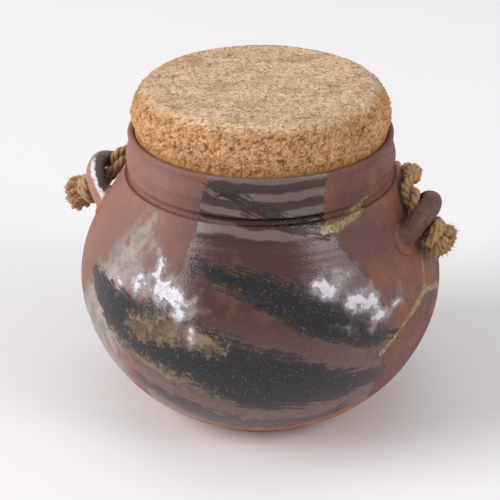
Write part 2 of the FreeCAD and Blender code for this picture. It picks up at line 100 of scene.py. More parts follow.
def srgb(red, green, blue):
    """A colour given as 0 to 255 screen values, as the linear values that sockets take."""
    def linear(value):
        value /= 255
        return value / 12.92 if value <= 0.04045 else ((value + 0.055) / 1.055) ** 2.4
    return (linear(red), linear(green), linear(blue), 1.0)


def grid_faces(rows, columns, first=0):
    """The quads of a grid whose rows are rings. The first point has the number first."""
    faces = []
    for row in range(rows - 1):
        below = first + row * columns
        above = below + columns
        for column in range(columns):
            after = (column + 1) % columns
            faces.append((below + column, below + after, above + after, above + column))
    return faces


def end_faces(rows, columns, first=0):
    """The two faces that close such a grid."""
    last = first + (rows - 1) * columns
    return [tuple(range(first, first + columns))[::-1], tuple(range(last, last + columns))]


class Nodes:
    """Short ways to build a material's node tree."""

    def __init__(self, name):
        self.material = bpy.data.materials.new(name)
        self.material.use_nodes = True
        self.tree = self.material.node_tree
        self.shader = self.tree.nodes["Principled BSDF"]

    def feed(self, socket, value):
        if isinstance(value, bpy.types.NodeSocket):
            self.tree.links.new(value, socket)
        else:
            socket.default_value = value

    def made(self, kind, output, inputs, **settings):
        """One output of a new node, whose inputs are fed by name or number."""
        node = self.tree.nodes.new(kind)
        for key, value in settings.items():
            setattr(node, key, value)
        for key, value in inputs.items():
            self.feed(node.inputs[key], value)
        return node.outputs[output]

    def attribute(self, name):
        return self.made("ShaderNodeAttribute", "Fac", {}, attribute_name=name)

    def where(self, scale=(1, 1, 1)):
        """Object coordinates in millimetres, stretched."""
        place = self.made("ShaderNodeTexCoord", "Object", {})
        return self.made("ShaderNodeMapping", "Vector",
                         {"Vector": place, "Scale": [1000 * s for s in scale]})

    def join(self, x, y, z=0.0):
        return self.made("ShaderNodeCombineXYZ", 0, {"X": x, "Y": y, "Z": z})

    def noise(self, vector, scale, detail=3.0, rough=0.5):
        return self.made("ShaderNodeTexNoise", "Fac", {
            "Vector": vector, "Scale": scale, "Detail": detail, "Roughness": rough})

    def cells(self, vector, scale):
        """How far a place is from the middle of its cell."""
        return self.made("ShaderNodeTexVoronoi", "Distance", {"Vector": vector, "Scale": scale})

    def math(self, operation, a, b=0.0):
        return self.made("ShaderNodeMath", 0, {0: a, 1: b}, operation=operation)

    def plus(self, a, b):
        return self.math("ADD", a, b)

    def times(self, a, b):
        return self.math("MULTIPLY", a, b)

    def larger(self, a, b):
        return self.math("MAXIMUM", a, b)

    def apart(self, value, middle):
        return self.math("ABSOLUTE", self.math("SUBTRACT", value, middle))

    def shaken(self, value, by, amount):
        """A value that a noise shakes by up to half of amount either way."""
        return self.plus(value, self.times(self.math("SUBTRACT", by, 0.5), amount))

    def step(self, value, low, high, to_low=0.0, to_high=1.0):
        """A smooth step from to_low to to_high while value goes from low to high."""
        return self.made("ShaderNodeMapRange", "Result", {
            "Value": value, "From Min": low, "From Max": high, "To Min": to_low,
            "To Max": to_high}, interpolation_type="SMOOTHSTEP")

    def mix(self, factor, a, b):
        return self.made("ShaderNodeMix", 2, {0: factor, 6: a, 7: b}, data_type="RGBA")

    def fleck(self, under, field, low, high, share, color):
        """A colour mixed in, up to a share, while a field goes from low to high."""
        return self.mix(self.step(field, low, high, 0, share), under, srgb(*color))

    def blend(self, factor, a, b):
        return self.made("ShaderNodeMix", 0, {0: factor, 2: a, 3: b}, data_type="FLOAT")

    def bump(self, height, strength, distance):
        return self.made("ShaderNodeBump", "Normal", {
            "Height": height, "Strength": strength, "Distance": distance})

    def set(self, **values):
        for key, value in values.items():
            self.feed(self.shader.inputs[key.replace("_", " ")], value)


def held(value):
    """The value, kept between 0 and 1."""
    return min(max(value, 0), 1)


def circles_meet(ax, ay, ar, bx, by, br, side):
    """One of the two places where two circles cross."""
    apart = math.hypot(bx - ax, by - ay)
    reach = (apart ** 2 + ar ** 2 - br ** 2) / (2 * apart)
    rise = math.sqrt(ar ** 2 - reach ** 2) * side
    ux, uy = (bx - ax) / apart, (by - ay) / apart
    return ax + ux * reach - uy * rise, ay + uy * reach + ux * rise


def arc_points(cx, cy, radius, start, end, step, clockwise=False):
    """Points of an arc between two points, both included."""
    a = math.atan2(start[1] - cy, start[0] - cx)
    b = math.atan2(end[1] - cy, end[0] - cx)
    if clockwise:
        while b > a:
            b -= TAU
    else:
        while b < a:
            b += TAU
    count = max(2, int(abs(b - a) * radius / step) + 1)
    return [(cx + radius * math.cos(a + (b - a) * k / count),
             cy + radius * math.sin(a + (b - a) * k / count)) for k in range(count + 1)]


def line_points(start, end, step):
    count = max(1, int(math.dist(start, end) / step))
    return [(start[0] + (end[0] - start[0]) * k / count,
             start[1] + (end[1] - start[1]) * k / count) for k in range(count + 1)]


def run_together(*stretches):
    """One outline from stretches that meet end to end."""
    points = []
    for stretch in stretches:
        for point in stretch:
            if not points or math.dist(points[-1], point) > 1e-4:
                points.append(point)
    return points


# ------------------------ pot's shape, in millimetres

FOOT, BEVEL = 44.5, 2.0
BELLY_RADIUS, BELLY_HEIGHT, BELLY_ARC = 90.0, 67.6, 57.4
LOW_TURN, LOW_ARC = math.radians(15.2), 80.0
HIGH_TURN, SHOULDER_ARC = math.radians(28.0), 544.0
NECK_HEIGHT, NECK_RADIUS, GROOVE_ARC = 124.1, 64.0, 1.8
COLLAR_RADIUS, COLLAR_RISE, COLLAR_ARC = 65.9, 7.4, 22.0
RIM, WAIST_DROP, LIP_RADIUS, LIP_ARC = 145.3, 5.2, 64.7, 1.6
WALL, FLOOR, THROAT_DROP, THROAT_TAPER = 6.0, 8.0, 19.5, math.radians(7.0)
LUG_HEIGHT, LUG_TILT, LUG_SPREAD, LUG_REACH = 104.5, math.radians(50.0), 17.0, 14.5
LUG_THICK, LUG_BROAD = 8.6, 10.4
LUG_ROWS, LUG_AROUND = 96, 36
LUG_ROOT = 3.4  # how far its ends reach into the shoulder
WELD = 2.6
POT_COLUMNS = 344
AXIS_GAP = 0.5  # the outlines start this far from the pot's axis
BELLY_PLACE = 85.0  # the radius at which distances round the belly are measured
NECK_RING_PITCH = 9.0

BELLY_X = BELLY_RADIUS - BELLY_ARC
LOW_X = BELLY_X - (LOW_ARC - BELLY_ARC) * math.cos(LOW_TURN)
LOW_Z = BELLY_HEIGHT + (LOW_ARC - BELLY_ARC) * math.sin(LOW_TURN)
SHOULDER_X = BELLY_X - (SHOULDER_ARC - BELLY_ARC) * math.cos(HIGH_TURN)
SHOULDER_Z = BELLY_HEIGHT - (SHOULDER_ARC - BELLY_ARC) * math.sin(HIGH_TURN)


def shoulder_radius(height):
    """The radius of the outside between the belly and the groove."""
    return SHOULDER_X + math.sqrt(SHOULDER_ARC ** 2 - (height - SHOULDER_Z) ** 2)


def pot_outline():
    """The outside from the foot's middle to the lip, then the inside to the floor's middle."""
    bevel_x = LOW_X + math.sqrt(LOW_ARC ** 2 - (LOW_Z - BEVEL) ** 2)
    low_joint = (BELLY_X + BELLY_ARC * math.cos(LOW_TURN),
                 BELLY_HEIGHT - BELLY_ARC * math.sin(LOW_TURN))
    high_joint = (BELLY_X + BELLY_ARC * math.cos(HIGH_TURN),
                  BELLY_HEIGHT + BELLY_ARC * math.sin(HIGH_TURN))
    groove_x = NECK_RADIUS + GROOVE_ARC
    collar_x, collar_z = COLLAR_RADIUS - COLLAR_ARC, NECK_HEIGHT + COLLAR_RISE
    groove_low = circles_meet(SHOULDER_X, SHOULDER_Z, SHOULDER_ARC,
                              groove_x, NECK_HEIGHT, GROOVE_ARC, -1)
    groove_top = circles_meet(groove_x, NECK_HEIGHT, GROOVE_ARC,
                              collar_x, collar_z, COLLAR_ARC, -1)
    waist_z = RIM - WAIST_DROP
    waist = (collar_x + math.sqrt(COLLAR_ARC ** 2 - (waist_z - collar_z) ** 2), waist_z)
    lip = (LIP_RADIUS - LIP_ARC, RIM - LIP_ARC)
    lip_in = (lip[0] - LIP_ARC, lip[1])
    throat_z = RIM - THROAT_DROP
    throat = (lip_in[0] - (lip[1] - throat_z) * math.tan(THROAT_TAPER), throat_z)
    inner_top = (throat[0], SHOULDER_Z + math.sqrt(
        (SHOULDER_ARC - WALL) ** 2 - (throat[0] - SHOULDER_X) ** 2))
    inner_high = (BELLY_X + (BELLY_ARC - WALL) * math.cos(HIGH_TURN),
                  BELLY_HEIGHT + (BELLY_ARC - WALL) * math.sin(HIGH_TURN))
    inner_low = (BELLY_X + (BELLY_ARC - WALL) * math.cos(LOW_TURN),
                 BELLY_HEIGHT - (BELLY_ARC - WALL) * math.sin(LOW_TURN))
    floor_edge = (LOW_X + math.sqrt((LOW_ARC - WALL) ** 2 - (LOW_Z - FLOOR) ** 2), FLOOR)
    outside = run_together(
        line_points((AXIS_GAP, 0), (FOOT, 0), 8),
        line_points((FOOT, 0), (bevel_x, BEVEL), 0.7),
        arc_points(LOW_X, LOW_Z, LOW_ARC, (bevel_x, BEVEL), low_joint, 1.15),
        arc_points(BELLY_X, BELLY_HEIGHT, BELLY_ARC, low_joint, high_joint, 1.15),
        arc_points(SHOULDER_X, SHOULDER_Z, SHOULDER_ARC, high_joint, groove_low, 1.0),
        arc_points(groove_x, NECK_HEIGHT, GROOVE_ARC, groove_low, groove_top, 0.4, True),
        arc_points(collar_x, collar_z, COLLAR_ARC, groove_top, waist, 0.7),
        line_points(waist, (LIP_RADIUS, lip[1]), 0.7),
        arc_points(lip[0], lip[1], LIP_ARC, (LIP_RADIUS, lip[1]), lip_in, 0.4),
        line_points(lip_in, throat, 1.5))
    inside = run_together(
        line_points(throat, inner_top, 1.5),
        arc_points(SHOULDER_X, SHOULDER_Z, SHOULDER_ARC - WALL, inner_top, inner_high, 6, True),
        arc_points(BELLY_X, BELLY_HEIGHT, BELLY_ARC - WALL, inner_high, inner_low, 6, True),
        arc_points(LOW_X, LOW_Z, LOW_ARC - WALL, inner_low, floor_edge, 6, True),
        line_points(floor_edge, (AXIS_GAP, FLOOR), 12))
    return outside, inside[1:]


# ------------------------ brushed and poured glaze

def face_place(x, y):
    """Distance round the belly in millimetres from the side that faces the camera, right is +."""
    angle = np.arctan2(y, x) - (CAMERA_AZIMUTH - math.pi / 2)
    angle = (angle + math.pi) % TAU - math.pi
    return angle * BELLY_PLACE


def stroke_fields(u, v, strokes):
    """How far each point lies outside the nearest stroke, and its place across and along it."""
    best = np.full(u.shape, 1e9)
    across = np.zeros(u.shape)
    along = np.zeros(u.shape)
    for number, stations in enumerate(strokes):
        walked = 37.0 * number
        for (ua, va, wa), (ub, vb, wb) in zip(stations, stations[1:]):
            du, dv = ub - ua, vb - va
            length = math.hypot(du, dv)
            t = np.clip(((u - ua) * du + (v - va) * dv) / length ** 2, 0, 1)
            side = ((u - ua) * dv - (v - va) * du) / length
            apart = np.hypot(u - ua - t * du, v - va - t * dv)
            distance = apart - (wa + (wb - wa) * t)
            closer = distance < best
            best = np.where(closer, distance, best)
            across = np.where(closer, side + 13.0 * number, across)
            along = np.where(closer, walked + t * length, along)
            walked += length
    return best, across, along


# Strokes in millimetres: distance round the belly, height and half width of each station.
DARK_STROKES = [
    [(-98, 84, 4), (-72, 74, 14), (-36, 62, 21), (2, 53, 18), (34, 46, 11), (62, 45, 3)],
    [(-34, 106, 3), (-6, 99, 7), (22, 88, 11), (46, 74, 8), (66, 66, 2)],
    [(-66, 40, 4), (-38, 27, 5.5), (-4, 20, 4.5), (28, 20, 3.5), (50, 26, 2)],
    [(-34, 140, 1.5), (-12, 134, 3.5), (14, 124, 3.5), (36, 119, 2)],
    [(150, 88, 7), (182, 70, 13), (214, 62, 10)],
    [(-214, 62, 10), (-188, 52, 8), (-160, 60, 3)],
]
WHITE_STROKES = [
    [(-74, 88, 1), (-62, 95, 5), (-48, 93, 7), (-36, 84, 5), (-30, 76, 1)],
    [(-60, 108, 1), (-54, 100, 3), (-50, 94, 4)],
    [(30, 98, 2), (42, 92, 6), (52, 84, 8), (62, 80, 4), (70, 82, 1)],
    [(-118, 60, 3), (-106, 44, 5), (-100, 30, 2)],
    [(168, 96, 4), (184, 92, 8), (200, 84, 3)],
]
OCHRE_STROKES = [
    [(58, 58, 1.2), (74, 70, 1.7), (92, 78, 1.8), (110, 72, 1.6), (124, 58, 1.4), (130, 44, 0.9)],
    [(92, 78, 1.4), (98, 92, 1.7), (112, 99, 1.3)],
    [(36, 119, 1.8), (58, 121, 1.9), (74, 126, 1.4)],
    [(-150, 84, 1.2), (-176, 80, 1.6), (-206, 86, 1.4), (-236, 82, 1.0)],
]
GREY_STROKES = [
    [(-120, 18, 8), (-92, 26, 13), (-98, 46, 20), (-86, 72, 17), (-76, 100, 9), (-70, 116, 4)],
    [(96, 14, 6), (130, 30, 10), (160, 36, 8)],
]
TAN_STROKES = [
    [(-84, 60, 3), (-60, 50, 7), (-34, 44, 6), (-14, 34, 3)],
    [(-60, 72, 6), (-40, 76, 7), (-20, 72, 3)],
]


def poured_panel(u, v):
    """How far each point lies outside the clear glaze poured over the front and the back."""
    left = -34 - 34 * np.clip((122 - v) / 60, 0, 1) - 4 * np.sin(v / 9.0)
    right = 44 + 20 * np.clip((112 - v) / 50, 0, 1) + 5 * np.sin(v / 13.0 + 1.0)
    front = np.maximum(left - u, u - right)
    behind = 70 - 8 * np.sin(v / 11.0) - (255 - np.abs(u))
    return np.minimum(front, -behind)


def lopsided(x, y, z):
    """How far the thrown wall comes in, in millimetres, never outward."""
    angle = np.arctan2(y, x)
    rings = 0.08 * (1 + np.sin(z * TAU / 3.1 + angle + 0.9 * np.sin(z * 0.21)))
    rings *= 0.25 + 0.75 * np.clip((z - 100) / 22, 0, 1)
    collar = np.clip((z - 110) / 6, 0, 1) * np.clip((RIM - 2 - z) / 4, 0, 1)
    rings += 0.16 * collar * (1 + np.sin(z * TAU / 7.5 + 0.4 * np.sin(angle)))
    sway = 0.16 * (1 + np.sin(2 * angle + z * 0.02)) + 0.10 * (1 + np.sin(3 * angle + 1.3))
    return rings + sway


def thrown_body():
    """Points and faces of the turned pot, without its lugs."""
    outside, inside = pot_outline()
    radius, height = np.array(outside + inside).T
    rows = len(radius)
    angle = np.arange(POT_COLUMNS) * TAU / POT_COLUMNS
    x = np.outer(radius, np.cos(angle)).ravel()
    y = np.outer(radius, np.sin(angle)).ravel()
    z = np.repeat(height, POT_COLUMNS)
    outer = np.repeat(np.arange(rows) < len(outside), POT_COLUMNS)
    come_in = np.where(outer & (z > 3), lopsided(x, y, z), 0)
    share = 1 - come_in / np.maximum(np.hypot(x, y), 1)
    faces = grid_faces(rows, POT_COLUMNS) + end_faces(rows, POT_COLUMNS)
    return np.stack([x * share, y * share, z], 1), faces


def make_pot(material):
    vertices, faces = thrown_body()
    blank = np.zeros(len(vertices))
    # The lug mark is -1 on the body, 0 on the right lug and 1 on the left one.
    marks = {"lug": [blank - 1], "lug_turn": [blank], "lug_along": [blank], "lug_weld": [blank]}
    for side, mark in ((1, 0.0), (-1, 1.0)):
        points, turns, alongs, welds = lug_points(side)
        first = len(vertices)
        vertices = np.concatenate([vertices, points.reshape(-1, 3)])
        for key, values in zip(marks, (np.full(turns.shape, mark), turns, alongs, welds)):
            marks[key].append(values.ravel())
        added = grid_faces(LUG_ROWS, LUG_AROUND, first) + end_faces(LUG_ROWS, LUG_AROUND, first)
        faces += added if side > 0 else [face[::-1] for face in added]

    pot = link_mesh("thrown_pot", vertices * MM, faces, material)
    x, y, v = vertices.T
    u = face_place(x, y)
    for name, strokes in (("dark", DARK_STROKES), ("white", WHITE_STROKES),
                          ("ochre", OCHRE_STROKES), ("grey", GREY_STROKES),
                          ("tan", TAN_STROKES)):
        away, across, along = stroke_fields(u, v, strokes)
        put_attribute(pot, name, away)
        if name in ("dark", "white"):
            put_attribute(pot, name + "_across", across)
            put_attribute(pot, name + "_along", along)
    put_attribute(pot, "panel", poured_panel(u, v))
    put_attribute(pot, "place_u", u)
    put_attribute(pot, "place_v", v)
    for key, values in marks.items():
        put_attribute(pot, key, np.concatenate(values))
    return pot


def lug_points(side):
    """A hand-pulled loop, as rings of points from one foot to the other.

    With them come each point's turn round the loop, its place along it, and how far it is from
    the shoulder, from 0 on it to 1 where the weld ends.
    """
    spread, reach = LUG_SPREAD, LUG_REACH
    bend = (spread ** 2 + reach ** 2) / (2 * reach)
    foot_x = math.sqrt(shoulder_radius(LUG_HEIGHT) ** 2 - spread ** 2)
    out = np.array([side * math.cos(LUG_TILT), 0, math.sin(LUG_TILT)])
    across = np.array([0, 1.0, 0])
    up = np.array([-side * math.sin(LUG_TILT), 0, math.cos(LUG_TILT)])
    middle = np.array([side * foot_x, 0, LUG_HEIGHT]) + (reach - bend) * out
    foot_angle = math.atan2(spread, bend - reach)
    root_angle = foot_angle + LUG_ROOT / bend
    points = np.zeros((LUG_ROWS, LUG_AROUND, 3))
    turns, alongs, welds = (np.zeros((LUG_ROWS, LUG_AROUND)) for _ in range(3))
    for row in range(LUG_ROWS):
        phi = -root_angle + 2 * root_angle * row / (LUG_ROWS - 1)
        from_foot = (foot_angle - abs(phi)) * bend
        flare = 1 + 0.16 * math.exp(-max(from_foot + 2.2, 0) / 6.0)
        alongs[row] = phi
        radial = math.cos(phi) * out + math.sin(phi) * across
        for step in range(LUG_AROUND):
            turn = TAU * step / LUG_AROUND
            wobble = 0.98 - 0.05 * noise.noise(Vector((phi * 2.3, turn, side * 4.0)))
            squarish = 1 + 0.03 * math.cos(4 * turn)
            thick = LUG_THICK / 2 * math.cos(turn) * flare * wobble * squarish
            broad = LUG_BROAD / 2 * math.sin(turn) * flare * wobble * squarish
            point = middle + (bend + thick) * radial + broad * up
            clear = math.hypot(point[0], point[1]) - shoulder_radius(point[2])
            clear = held(clear * 0.87 / WELD)
            smear = WELD * (1 - math.sqrt(1 - (1 - clear) ** 2))
            outward = point - middle - bend * radial
            point = point + outward / np.linalg.norm(outward) * smear
            points[row, step] = point
            welds[row, step] = clear
            turns[row, step] = (turn + math.pi) % TAU - math.pi
    return points, turns, alongs, welds


def stone_fields(n):
    """The place round and up the pot, and the noises that the layers of clay and glaze share."""
    place = n.where()
    return SimpleNamespace(
        place=place, u=n.attribute("place_u"), v=n.attribute("place_v"),
        broad=n.noise(place, 0.022, 3), patch=n.noise(place, 0.06, 4, 0.6),
        ragged=n.noise(place, 0.16, 6, 0.62), mottle=n.noise(place, 0.34, 5, 0.7),
        fine=n.noise(place, 0.9, 5, 0.65), peel=n.noise(place, 1.25, 3, 0.6),
        grain=n.noise(place, 2.6, 3, 0.6))


def bare_clay_and_painted_highlight(n, f):
    """Purple brown, flashed orange by the kiln low down and at the right, with a painted highlight
    that makes it paler at the left, where the window light falls.
    """
    clay = n.mix(n.step(f.broad, 0.42, 0.58), srgb(92, 55, 52), srgb(122, 73, 62))
    clay = n.fleck(clay, f.ragged, 0.35, 0.65, 0.5, (80, 48, 46))
    aside = n.blend(n.step(f.u, 40, 90), 0.25, 0.62)
    clay = n.mix(n.times(n.step(f.patch, 0.47, 0.66), aside), clay, srgb(148, 86, 50))
    low = n.step(n.plus(f.v, n.times(f.ragged, 14)), 26, 12)
    clay = n.mix(n.times(low, n.step(f.patch, 0.3, 0.62, 0.35, 0.9)), clay, srgb(158, 96, 56))
    clay = n.fleck(clay, f.fine, 0.35, 0.75, 0.35, (74, 44, 40))
    clay = n.fleck(clay, f.peel, 0.46, 0.68, 0.22, (172, 120, 98))
    # Painted highlight: the clay is made paler at the left, where the window light falls.
    return n.mix(n.times(n.step(f.u, -30, -70), 0.4), clay, srgb(164, 118, 104))


def ash_glaze_and_painted_sheen(n, f, under):
    grey = n.step(n.shaken(n.attribute("grey"), f.ragged, 40), 5, -5)
    # Partly the ash glaze's own pale grey, partly a painted sheen that stands in for the window's
    # reflection in the satin glaze.
    tone = n.mix(n.step(f.ragged, 0.35, 0.65), srgb(116, 106, 100), srgb(168, 158, 150))
    tone = n.fleck(tone, f.mottle, 0.5, 0.7, 0.6, (160, 140, 108))
    return n.mix(n.times(grey, 0.85), under, tone), grey


def clear_glaze(n, f, under):
    """Poured over the front and the back: darker than the clay, wet, with painted reflection bands
    and painted shade along the throwing rings on the neck.
    """
    panel = n.step(n.shaken(n.attribute("panel"), f.ragged, 7), 0.4, -0.4)
    tone = n.mix(n.step(f.v, 96, 44), srgb(72, 38, 32), srgb(108, 78, 70))
    tone = n.fleck(tone, f.mottle, 0.42, 0.7, 0.5, (58, 34, 30))
    tone = n.fleck(tone, f.patch, 0.5, 0.7, 0.3, (122, 86, 76))
    # Painted reflections and painted shade: light and dark bands along the throwing rings of the
    # neck.
    height = n.shaken(n.shaken(f.v, f.broad, 14), f.patch, 3)
    rings = n.math("SINE", n.times(height, TAU / NECK_RING_PITCH))
    on_neck = n.step(f.v, 112, 118)
    tone = n.mix(n.times(on_neck, n.step(rings, 0.2, -0.7)), tone, srgb(56, 32, 28))
    tone = n.mix(n.times(on_neck, n.step(rings, -0.1, 0.55)), tone, srgb(106, 88, 82))
    return n.mix(panel, under, tone), panel


def black_glaze(n, f, under):
    """Laid thick with a broad brush, worn into bristle lines at its edge, with tan patches."""
    tan = n.step(n.shaken(n.attribute("tan"), f.mottle, 34), 3, -3)
    tan_tone = n.mix(n.step(f.ragged, 0.4, 0.6), srgb(96, 74, 54), srgb(138, 112, 86))
    lane = n.join(n.attribute("dark_across"), n.times(n.attribute("dark_along"), 0.035))
    bristle = n.noise(lane, 0.62, 4, 0.62)
    away = n.shaken(n.shaken(n.attribute("dark"), f.ragged, 13), bristle, 16)
    dark = n.step(away, 0.7, -0.9)
    tone = n.mix(n.step(away, -0.6, -5.0), srgb(48, 34, 26), srgb(15, 16, 20))
    rusty = n.times(n.step(f.mottle, 0.55, 0.72), n.step(bristle, 0.42, 0.62))
    tone = n.mix(rusty, tone, srgb(92, 62, 34))
    dots = n.times(n.step(n.cells(f.place, 0.62), 0.24, 0.12), n.step(f.fine, 0.48, 0.6))
    tone = n.mix(n.times(dots, 0.55), tone, srgb(112, 116, 124))
    glints = n.times(n.step(n.cells(f.place, 0.5), 0.2, 0.11), n.step(f.mottle, 0.4, 0.55))
    tone = n.mix(n.times(glints, 0.3), tone, srgb(168, 172, 178))
    tone = n.mix(n.times(tan, 0.8), tone, tan_tone)
    return n.mix(dark, under, tone), dark, bristle


def white_slip(n, f, under):
    """Dragged so that what is under it shows in streaks, bluish where it is thin."""
    lane = n.join(n.attribute("white_across"), n.times(n.attribute("white_along"), 0.05))
    streak = n.noise(lane, 0.9, 3, 0.6)
    flowing = n.noise(f.place, 0.13, 1.5, 0.5)
    away = n.shaken(n.shaken(n.attribute("white"), flowing, 30), f.ragged, 7)
    away = n.shaken(away, streak, 4)
    veil = n.times(n.step(n.shaken(away, f.mottle, 9), 7, -3),
                   n.step(f.mottle, 0.38, 0.62, 0.1, 0.6))
    under = n.mix(veil, under, srgb(150, 140, 140))
    white = n.step(away, 0.9, -0.9)
    thick = n.step(n.plus(away, n.times(f.mottle, 13)), 5.4, 0.6)
    tone = n.mix(thick, srgb(140, 124, 120), srgb(220, 216, 221))
    tone = n.fleck(tone, f.mottle, 0.46, 0.62, 0.5, (168, 168, 182))
    tone = n.fleck(tone, f.peel, 0.54, 0.68, 0.35, (146, 128, 118))
    return n.mix(n.times(white, n.blend(thick, 0.55, 0.97)), under, tone), white, thick


def ochre_line(n, f, under):
    away = n.shaken(n.shaken(n.attribute("ochre"), f.patch, 7), f.mottle, 2.2)
    ochre = n.step(away, 0.5, -0.6)
    tone = n.mix(n.step(f.fine, 0.4, 0.65), srgb(112, 92, 50), srgb(176, 162, 112))
    return n.mix(n.times(ochre, 0.9), under, tone), ochre


def wiped_foot_and_painted_bounce(n, f, under):
    """Free of glaze, flashed orange, and higher at the right. Its colour is painted lighter to
    stand in for light bounced from the floor into the shade under the belly.
    """
    flashed = n.times(n.step(f.u, 5, 65), -9)
    bare = n.step(n.plus(n.shaken(f.v, f.patch, 12), flashed), 15.5, 13.5)
    # Painted light: the flashed orange is lightened for the floor's bounce light in the shade under
    # the belly.
    tone = n.mix(n.step(f.ragged, 0.35, 0.65), srgb(142, 86, 56), srgb(186, 122, 78))
    tone = n.fleck(tone, f.fine, 0.4, 0.7, 0.4, (116, 72, 50))
    return n.mix(bare, under, tone), bare


def lug_clay(n, f, under):
    """Plain at the right, darkened with painted shade. The left lug is glazed on its inner face and
    has a line of slip.
    """
    mark = n.attribute("lug")
    lug = n.times(n.step(mark, -0.6, -0.4),
                  n.step(n.shaken(n.attribute("lug_weld"), f.ragged, 0.8), 0.1, 0.75))
    left = n.step(mark, 0.4, 0.6)
    turn = n.shaken(n.attribute("lug_turn"), f.mottle, 0.9)
    # Painted shade: the right lug's clay is darker than the body's, as if in shadow.
    plain_with_painted_shade = n.mix(n.step(f.ragged, 0.4, 0.6), srgb(66, 37, 31), srgb(98, 57, 44))
    plain_with_painted_shade = n.fleck(plain_with_painted_shade, f.fine, 0.45, 0.7, 0.5, (60, 38, 34))
    plain_with_painted_shade = n.fleck(plain_with_painted_shade, f.peel, 0.5, 0.68, 0.4, (146, 100, 80))
    inner = n.step(n.apart(turn, 2.0), 1.6, 1.4)
    strip = n.times(n.step(n.apart(turn, 0.42), 0.3, 0.14),
                    n.step(n.shaken(n.attribute("lug_along"), f.mottle, 0.8), -0.15, -0.4))
    tone = n.mix(inner, srgb(160, 112, 88), srgb(74, 52, 50))
    tone = n.mix(n.times(strip, n.step(f.mottle, 0.3, 0.45, 0.5, 1)), tone, srgb(224, 220, 222))
    wet = n.times(n.times(lug, left), inner)
    return n.mix(lug, under, n.mix(left, plain_with_painted_shade, tone)), lug, wet


def stoneware():
    """Thrown stoneware: layers of clay, ash, glaze and slip, by painted fields and noises."""
    n = Nodes("stoneware")
    f = stone_fields(n)
    color, grey = ash_glaze_and_painted_sheen(n, f, bare_clay_and_painted_highlight(n, f))
    color, panel = clear_glaze(n, f, color)
    color, dark, bristle = black_glaze(n, f, color)
    color, white, white_thick = white_slip(n, f, color)
    color, ochre = ochre_line(n, f, color)
    color, bare = wiped_foot_and_painted_bounce(n, f, color)
    color, lug, wet_lug = lug_clay(n, f, color)
    specks = n.times(n.step(n.cells(f.place, 0.42), 0.16, 0.07), n.step(f.grain, 0.52, 0.6))
    color = n.mix(n.times(specks, 0.55), color, srgb(40, 28, 26))

    rough = n.blend(grey, 0.62, 0.3)
    for mask, level in ((panel, 0.15), (dark, 0.14), (white, 0.3), (bare, 0.6), (lug, 0.5),
                        (wet_lug, 0.2)):
        rough = n.blend(mask, rough, level)
    rough = n.shaken(rough, f.fine, 0.14)

    glazed = n.larger(panel, dark)
    relief = n.times(n.larger(dark, n.larger(white_thick, ochre)), 0.3)
    for part in (n.times(f.grain, n.blend(glazed, 0.2, 0.03)),
                 n.times(f.peel, n.blend(glazed, 0.3, 0.13)),
                 n.times(n.times(white_thick, f.mottle), 0.9),
                 n.times(n.times(dark, bristle), 0.2), n.times(panel, 0.25)):
        relief = n.plus(relief, part)
    n.set(Base_Color=color, Roughness=rough, IOR=1.5, Normal=n.bump(relief, 0.9, 0.001))
    return n.material


# ------------------------ cork

CORK_TOP, CORK_WIDEST, CORK_RADIUS, CORK_BOTTOM = 168.2, 153.9, 63.1, 128.3
CORK_CROWN_ARC, CORK_UNDER_ARC = 16.0, 18.0
CORK_EDGE_TURN = math.radians(57.5)  # where the crown arc takes over from the softened edge
CORK_MEET = 146.1  # where the under arc ends and the taper starts
CORK_GAP = 0.45
CORK_COLUMNS, CORK_STEP = 560, 0.64
GRAIN = 2.0


def cork_outline():
    """From the middle of the top down to the middle of the bottom."""
    crown_x, under_x = CORK_RADIUS - CORK_CROWN_ARC, CORK_RADIUS - CORK_UNDER_ARC
    edge = (crown_x + CORK_CROWN_ARC * math.cos(CORK_EDGE_TURN),
            CORK_WIDEST + CORK_CROWN_ARC * math.sin(CORK_EDGE_TURN))
    corner = crown_x + math.sqrt(CORK_CROWN_ARC ** 2 - (CORK_TOP - CORK_WIDEST) ** 2)
    start, bend = (corner - 1.8, CORK_TOP), (corner, CORK_TOP)
    soft = [tuple((1 - t) ** 2 * a + 2 * t * (1 - t) * b + t * t * c
                  for a, b, c in zip(start, bend, edge)) for t in np.linspace(0, 1, 7)]
    widest = (CORK_RADIUS, CORK_WIDEST)
    meet = (under_x + math.sqrt(CORK_UNDER_ARC ** 2 - (CORK_WIDEST - CORK_MEET) ** 2), CORK_MEET)
    bore = LIP_RADIUS - 2 * LIP_ARC - CORK_GAP
    toe_z = CORK_BOTTOM + 2
    toe = (bore - (RIM - LIP_ARC - toe_z) * math.tan(THROAT_TAPER), toe_z)
    sole = (toe[0] - 2, CORK_BOTTOM)
    return run_together(
        line_points((0.4, CORK_TOP), start, CORK_STEP), soft,
        arc_points(crown_x, CORK_WIDEST, CORK_CROWN_ARC, edge, widest, CORK_STEP, True),
        arc_points(under_x, CORK_WIDEST, CORK_UNDER_ARC, widest, meet, CORK_STEP, True),
        line_points(meet, toe, CORK_STEP * 2),
        arc_points(sole[0], toe_z, 2, toe, sole, CORK_STEP, True),
        line_points(sole, (AXIS_GAP, CORK_BOTTOM), 4))


def scatter(point, salt):
    """A number from 0 to 1 that belongs to a point."""
    value = math.sin(point[0] * 127.1 + point[1] * 311.7 + point[2] * 74.7 + salt * 19.3)
    return (value * 43758.5453) % 1.0


